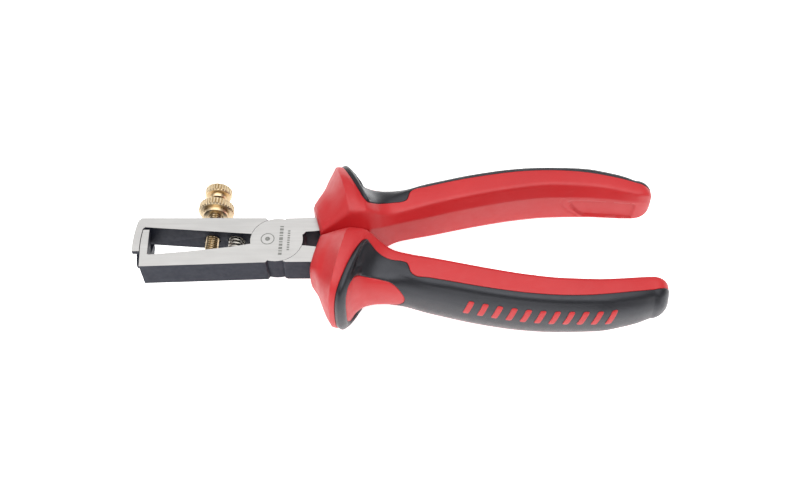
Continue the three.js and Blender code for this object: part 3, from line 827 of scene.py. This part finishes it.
BAR_COUNT = 11
BAR_FIRST_X, BAR_STEP = 57.0, 4.1
BAR_HALF_WIDTH, BAR_HALF_HEIGHT, BAR_LEAN = 0.85, 2.7, 0.30
BAR_MIDDLE_UP = 1.9
# From the cover out to the bar's top and back: size of the outline, height over the cover.
BAR_LEVELS = (
    (1.0, -0.3), (1.0, 0.12), (0.93, 0.2), (0.62, 0.22), (0.3, 0.23), (0.3, -0.3),
)
# Where the rays that find the cover start, well outside the handle.
OUTSIDE = 45


def bar_outline():
    """A slanted bar with rounded corners, as points across and up."""
    corners, round_by = [], 0.5
    for sx, sy, start in ((1, 1, 0), (-1, 1, 90), (-1, -1, 180), (1, -1, 270)):
        for step in range(4):
            turn = math.radians(start + step * 30)
            across = sx * (BAR_HALF_WIDTH - round_by) + round_by * math.cos(turn)
            up = sy * (BAR_HALF_HEIGHT - round_by) + round_by * math.sin(turn)
            corners.append((across, up))
    points = []
    for (xa, ya), (xb, yb) in zip(corners, corners[1:] + corners[:1]):
        # the long sides get points along them, to follow the curved cover
        steps = 8 if abs(yb - ya) > 2 else 1
        for k in range(steps):
            t = k / steps
            up = ya + (yb - ya) * t
            points.append((xa + (xb - xa) * t + BAR_LEAN * up, up))
    return points


def grip_bars(cover, side, body, letter):
    """A row of plain raised bars moulded into the back of the soft cover."""
    depsgraph = bpy.context.evaluated_depsgraph_get()
    surface = BVHTree.FromObject(cover, depsgraph)
    bm = bmesh.new()

    def on_cover(x, z, proud):
        start = Vector((x, HANDLE_MID_Y + side * OUTSIDE, z))
        hit, normal, _, _ = surface.ray_cast(start * MM, Vector((0, -side, 0)))
        return hit / MM + normal * proud

    for k in range(BAR_COUNT):
        x, z = BAR_FIRST_X + k * BAR_STEP, MID_Z + BAR_MIDDLE_UP
        rows = []
        for scale, proud in BAR_LEVELS:
            outline = [(x + across * scale, z + up * scale) for across, up in bar_outline()]
            rows.append([bm.verts.new(on_cover(px, pz, proud)) for px, pz in outline])
        n = len(rows[0])
        top, bottom = rows[4], rows[5]
        pairs = list(zip(rows[:4], rows[1:5])) + [(bottom, rows[0])]
        for a, b in pairs:
            for i in range(n):
                bm.faces.new((a[i], a[(i + 1) % n], b[(i + 1) % n], b[i]))
        for row, proud in ((bottom, BAR_LEVELS[5][1]), (top, BAR_LEVELS[4][1])):
            middle = bm.verts.new(on_cover(x, z, proud))
            for i in range(n):
                bm.faces.new((row[i], row[(i + 1) % n], middle))
    make_piece(f"handle_{letter}_grip_bars", bm, RED, body, sharp=40)


# ------------------------------------------------------------------ head

# Edges nearer the pivot than this are the rivet's hole, which stays sharp.
SHARP_HOLE_RADIUS = 3.6
RIVET_RADIUS = 3.19
RIVET_RIM_RADIUS = 3.32


def machined(node, name, body, bevel=0.11):
    """A milled steel piece with small broken edges, ground on its two flat faces."""
    bm = bmesh.new()
    bm.from_mesh(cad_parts[node].data)
    bmesh.ops.scale(bm, vec=(1 / MM,) * 3, verts=bm.verts)
    bmesh.ops.remove_doubles(bm, verts=bm.verts, dist=0.002)
    bmesh.ops.dissolve_limit(
        bm, angle_limit=math.radians(0.6), verts=bm.verts, edges=bm.edges
    )
    bm.normal_update()
    edges = []
    for e in bm.edges:
        if len(e.link_faces) != 2 or e.calc_face_angle(0) < math.radians(25):
            continue
        a, b = e.verts
        if max(math.hypot(v.co.x, v.co.y) for v in (a, b)) < SHARP_HOLE_RADIUS:
            continue
        edges.append(e)
    bmesh.ops.bevel(
        bm, geom=edges, offset=bevel, offset_type="OFFSET", segments=2, profile=0.5,
        affect="EDGES", clamp_overlap=True,
    )
    bm.normal_update()
    for f in bm.faces:
        z = f.calc_center_median().z
        flat = abs(f.normal.z)
        at_face = z > HEAD_TOP - bevel * 0.9 or z < bevel * 0.9
        f.material_index = 0 if at_face and flat > 0.3 else 1
    obj = make_piece(name, bm, [GROUND, OXIDE], body, [node], sharp=28)
    weighted = obj.modifiers.new("flat_faces", "WEIGHTED_NORMAL")
    weighted.keep_sharp = True
    return obj


def build_rivet():
    profile = [
        (RIVET_RIM_RADIUS, -0.012), (RIVET_RIM_RADIUS, -0.002),
        (RIVET_RADIUS, 0.0), (RIVET_RADIUS, MID_Z), (RIVET_RADIUS, HEAD_TOP),
        (RIVET_RIM_RADIUS, HEAD_TOP + 0.002), (RIVET_RIM_RADIUS, HEAD_TOP + 0.012),
    ]
    rings = []
    for r, z in profile:
        ts = [i / 72 * 2 * math.pi for i in range(72)]
        rings.append([(r * math.cos(t), r * math.sin(t), z) for t in ts])
    bm = grid_body(rings)
    return make_piece("joint_rivet", bm, GROUND, "lever_a", ["rivet"], sharp=40)


def flat_mark(bm, outline):
    """A thin closed plate on the top face, for an etched mark."""
    low = [bm.verts.new((x, y, HEAD_TOP - 0.02)) for x, y in outline]
    high = [bm.verts.new((x, y, HEAD_TOP + 0.016)) for x, y in outline]
    n = len(outline)
    for i in range(n):
        j = (i + 1) % n
        bm.faces.new((low[i], low[j], high[j], high[i]))
    bm.faces.new(high)
    bm.faces.new(list(reversed(low)))


def ring_mark(bm, x, y, outer, inner, start, end, steps=28):
    """An etched arc made of short closed plates."""
    def at(r, t):
        return (x + r * math.cos(t), y + r * math.sin(t))

    turns = [math.radians(start + (end - start) * k / steps) for k in range(steps + 1)]
    outline = [at(outer, t) for t in turns] + [at(inner, t) for t in reversed(turns)]
    for k in range(steps):
        a, b = outline[k], outline[k + 1]
        c, d = outline[2 * steps - k], outline[2 * steps + 1 - k]
        flat_mark(bm, [a, b, c, d])


def joint_marks():
    """Plain etched marks on the joint: a dot in a ring, and two rows of short bars."""
    bm = bmesh.new()
    ring_mark(bm, -2.7, 0.3, 2.1, 1.8, 0, 360)
    ring_mark(bm, -2.7, 0.3, 0.75, 0.1, 0, 360)
    lengths = (0.8, 0.45, 0.8, 0.8, 0.45, 1.1, 0.45, 0.8, 0.8, 0.45)
    y = -5.6
    for length in lengths:
        flat_mark(bm, [(0.8, y), (1.9, y), (1.9, y + length), (0.8, y + length)])
        y += length + 0.42
    y = -3.9
    for _ in range(9):
        flat_mark(bm, [(3.25, y), (4.0, y), (4.0, y + 0.5), (3.25, y + 0.5)])
        y += 0.86
    make_piece("joint_etched_marks", bm, ETCH, "lever_b", sharp=30)


# ------------------------------------------------------------------ screw, nut, spring

KNURL_STEPS = 8   # points around for each tooth of a knurl


def thread_piece():
    """The brass thread: plain brass on its crests, and a darker brass painted as shade in its root.
    """
    pitch, crest, root = 0.7, 1.97, 1.48
    # faces nearer the axis than this get the painted root shade
    painted_shade_radius = 1.72
    lead_in_radius, lead_in_slope = 1.45, 0.8
    y0, y1 = -3.2, 18.3
    sides, per_pitch = 48, 8
    count = int((y1 - y0) / pitch * per_pitch)
    rings = []
    for row in range(count + 1):
        y = y0 + (y1 - y0) * row / count
        ring = []
        for i in range(sides):
            t = i / sides
            phase = (y / pitch - t) % 1.0
            tooth = max(0.0, min(1.0, 1.25 - abs(phase - 0.5) * 2.9))
            r = root + (crest - root) * tooth
            r = min(r, lead_in_radius + (y - y0) * lead_in_slope)
            angle = t * 2 * math.pi
            x = SCREW_X + r * math.sin(angle)
            ring.append((x, y, MID_Z + r * math.cos(angle)))
        rings.append(ring)
    bm = grid_body(rings)
    for face in bm.faces:
        c = face.calc_center_median()
        # faces near the root take the dark brass, which paints the shade in the thread's groove
        if math.hypot(c.x - SCREW_X, c.z - MID_Z) < painted_shade_radius:
            face.material_index = 1
    return make_piece("adjusting_screw_thread", bm, [BRASS, BRASS_PAINTED_ROOT_SHADE], "screw_shank",
                      ["screw_shank"], sharp=50)


def knurled_rings(radius, teeth, y0, y1, depth=0.26, chamfer=0.5):
    """Straight knurl with a turned chamfer at each end."""
    levels = [
        (y0, radius - chamfer),
        (y0 + 0.12, radius - chamfer + 0.12),
        (y0 + chamfer * 0.7, radius),
        (y0 + chamfer * 0.7 + 0.08, radius + 0.01),
        (y1 - chamfer * 0.7 - 0.08, radius + 0.01),
        (y1 - chamfer * 0.7, radius),
        (y1 - 0.12, radius - chamfer + 0.12),
        (y1, radius - chamfer),
    ]
    rings = []
    for y, r in levels:
        ring = []
        for i in range(teeth * KNURL_STEPS):
            t = i / (teeth * KNURL_STEPS) * 2 * math.pi
            phase = (i % KNURL_STEPS) / KNURL_STEPS
            groove = max(0.0, 1 - abs(phase - 0.5) * 3.4)
            rr = min(r, radius - depth * groove)
            ring.append((SCREW_X + rr * math.sin(t), y, MID_Z + rr * math.cos(t)))
        rings.append(ring)
    return rings


def face_turning(rings, end, profile, sides):
    """Adds turned steps on the flat end of a knurled body."""
    added = []
    for r, y in profile:
        ts = [i / sides * 2 * math.pi for i in range(sides)]
        added.append([
            (SCREW_X + r * math.sin(t), y, MID_Z + r * math.cos(t)) for t in ts
        ])
    return rings + added if end else list(reversed(added)) + rings


def screw_head_piece():
    teeth = 26
    rings = knurled_rings(4.2, teeth, 19.8, 22.5)
    sides = teeth * KNURL_STEPS
    under = [(2.9, 19.8), (2.62, 19.7), (2.6, 18.8), (2.45, 18.6), (2.05, 18.6)]
    rings = face_turning(rings, False, under, sides)
    rings = face_turning(rings, True, [(1.0, 22.5)], sides)
    bm = grid_body(rings)
    return make_piece("adjusting_screw_head", bm, BRASS, "screw_head",
                      ["screw_head"], sharp=40)


def ring_body(rings):
    """A closed bmesh through rings that meet again at the start, such as a nut."""
    bm = bmesh.new()
    rows = [[bm.verts.new(p) for p in ring] for ring in rings]
    n = len(rows[0])
    for a, b in zip(rows, rows[1:] + rows[:1]):
        for i in range(n):
            j = (i + 1) % n
            bm.faces.new((a[i], a[j], b[j], b[i]))
    return bm


def nut_pieces():
    teeth = 34
    sides = teeth * KNURL_STEPS
    rings = knurled_rings(5.5, teeth, 13.2, 16.0, depth=0.3, chamfer=0.6)
    rings = face_turning(rings, True, [(2.35, 16.0), (2.03, 15.75)], sides)
    rings = face_turning(rings, False, [(3.95, 13.2), (2.03, 13.2)], sides)
    make_piece("lock_nut_knurl", ring_body(rings), BRASS, "lock_nut_rim",
               ["lock_nut_rim"], sharp=40)
    collar = [
        (2.3, 11.9), (3.6, 11.9), (3.78, 11.97), (3.85, 12.15), (3.85, 13.15),
        (2.03, 13.15), (2.03, 12.15),
    ]
    rings = turned_rings(collar, SCREW_X, MID_Z, 96)
    make_piece("lock_nut_shoulder", ring_body(rings), BRASS, "lock_nut_collar",
               ["lock_nut_collar"], sharp=40)


def spring_piece():
    turns, radius, wire, half = 9.5, 2.25, 0.3, 5.15
    steps, sides = int(turns * 36), 12
    closed = 1 / turns
    flat = (2 * wire + 0.04) / (2 * half)

    def centre(t):
        angle = t * turns * 2 * math.pi
        if t < closed:
            rise = t / closed * flat
        elif t > 1 - closed:
            rise = 1 - (1 - t) / closed * flat
        else:
            rise = flat + (t - closed) / (1 - 2 * closed) * (1 - 2 * flat)
        y = (rise * 2 - 1) * half
        return Vector((SPRING_X + radius * math.cos(angle), y,
                       MID_Z + radius * math.sin(angle)))

    rings = []
    for k in range(steps + 1):
        t = k / steps
        c = centre(t)
        along = (centre(min(t + 1e-3, 1)) - centre(max(t - 1e-3, 0))).normalized()
        outward = Vector((c.x - SPRING_X, 0, c.z - MID_Z)).normalized()
        up = along.cross(outward).normalized()
        ring = []
        for i in range(sides):
            a = i / sides * 2 * math.pi
            ring.append(c + outward * (wire * math.cos(a)) + up * (wire * math.sin(a)))
        rings.append(ring)
    bm = grid_body(rings)
    obj = make_piece("jaw_opening_spring", bm, WIRE, "lever_a",
                     ["opening_spring"], sharp=50)
    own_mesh(obj)
    return obj


# ------------------------------------------------------------------ build

build_handle(-1, "lever_a", "a")
build_handle(1, "lever_b", "b")
machined("lever_a", "lever_a_forging", "lever_a")
machined("lever_b", "lever_b_forging", "lever_b")
build_rivet()
joint_marks()
thread_piece()
screw_head_piece()
nut_pieces()
spring_piece()


# ------------------------------------------------------------------ floor, light, camera

def build_floor():
    clearance = 0.00005
    z = list(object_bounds()[0])[2] - clearance
    bm = bmesh.new()
    bmesh.ops.create_grid(bm, x_segments=40, y_segments=40, size=3.0)
    mesh = bpy.data.meshes.new("floor")
    bm.to_mesh(mesh)
    bm.free()
    floor = bpy.data.objects.new("floor", mesh)
    floor.location = (0, 0, z)
    bpy.context.scene.collection.objects.link(floor)
    mesh.materials.append(floor_paper())


def area_light(name, location, target, size, watts):
    data = bpy.data.lights.new(name, "AREA")
    data.shape = "RECTANGLE"
    data.size, data.size_y = size
    data.energy = watts
    lamp = bpy.data.objects.new(name, data)
    lamp.location = location
    direction = Vector(target) - Vector(location)
    lamp.rotation_euler = direction.to_track_quat("-Z", "Y").to_euler()
    bpy.context.scene.collection.objects.link(lamp)


def build_camera():
    """Looks down at the tool from in front, tilted from straight down."""
    target = Vector((37.14, -3.84, HEAD_TOP)) * MM
    tilt = math.radians(35.5)
    distance = 0.2985
    back = Vector((0, -math.sin(tilt), math.cos(tilt)))
    data = bpy.data.cameras.new("camera")
    data.sensor_width = 36
    data.lens = 45
    data.clip_start, data.clip_end = 0.01, 10
    camera = bpy.data.objects.new("camera", data)
    camera.location = target + back * distance
    camera.rotation_euler = (tilt, 0, 0)
    bpy.context.scene.collection.objects.link(camera)
    bpy.context.scene.camera = camera


def build_world():
    """A soft white room: bright overhead, dimmer towards the horizon."""
    world = bpy.data.worlds.new("studio")
    world.use_nodes = True
    tree = world.node_tree
    background = next(n for n in tree.nodes if n.type == "BACKGROUND")
    coord = tree.nodes.new("ShaderNodeTexCoord")
    parts = tree.nodes.new("ShaderNodeSeparateXYZ")
    ramp = tree.nodes.new("ShaderNodeValToRGB")
    tree.links.new(coord.outputs["Generated"], parts.inputs[0])
    tree.links.new(parts.outputs["Z"], ramp.inputs["Fac"])
    tree.links.new(ramp.outputs["Color"], background.inputs["Color"])
    stops = ((0.0, 0.13), (0.3, 0.15), (0.62, 0.28), (0.86, 1.0), (1.0, 1.0))
    elements = ramp.color_ramp.elements
    while len(elements) < len(stops):
        elements.new(0.5)
    for element, (at, grey) in zip(elements, stops):
        element.position = at
        element.color = (grey, grey, grey, 1)
    background.inputs["Strength"].default_value = 1.9
    bpy.context.scene.world = world


build_floor()
area_light("softbox_top", (0.0, 0.05, 0.75), (0.0, 0.05, 0), (1.4, 1.0), 1.2)
area_light("softbox_left", (-0.7, -0.25, 0.5), (0.04, 0, 0), (0.6, 0.6), 0.5)
area_light("softbox_front", (0.08, -0.5, 0.72), (0.04, 0, 0), (0.9, 0.4), 1.7)
build_world()
bpy.context.scene.view_settings.view_transform = "Standard"
build_camera()
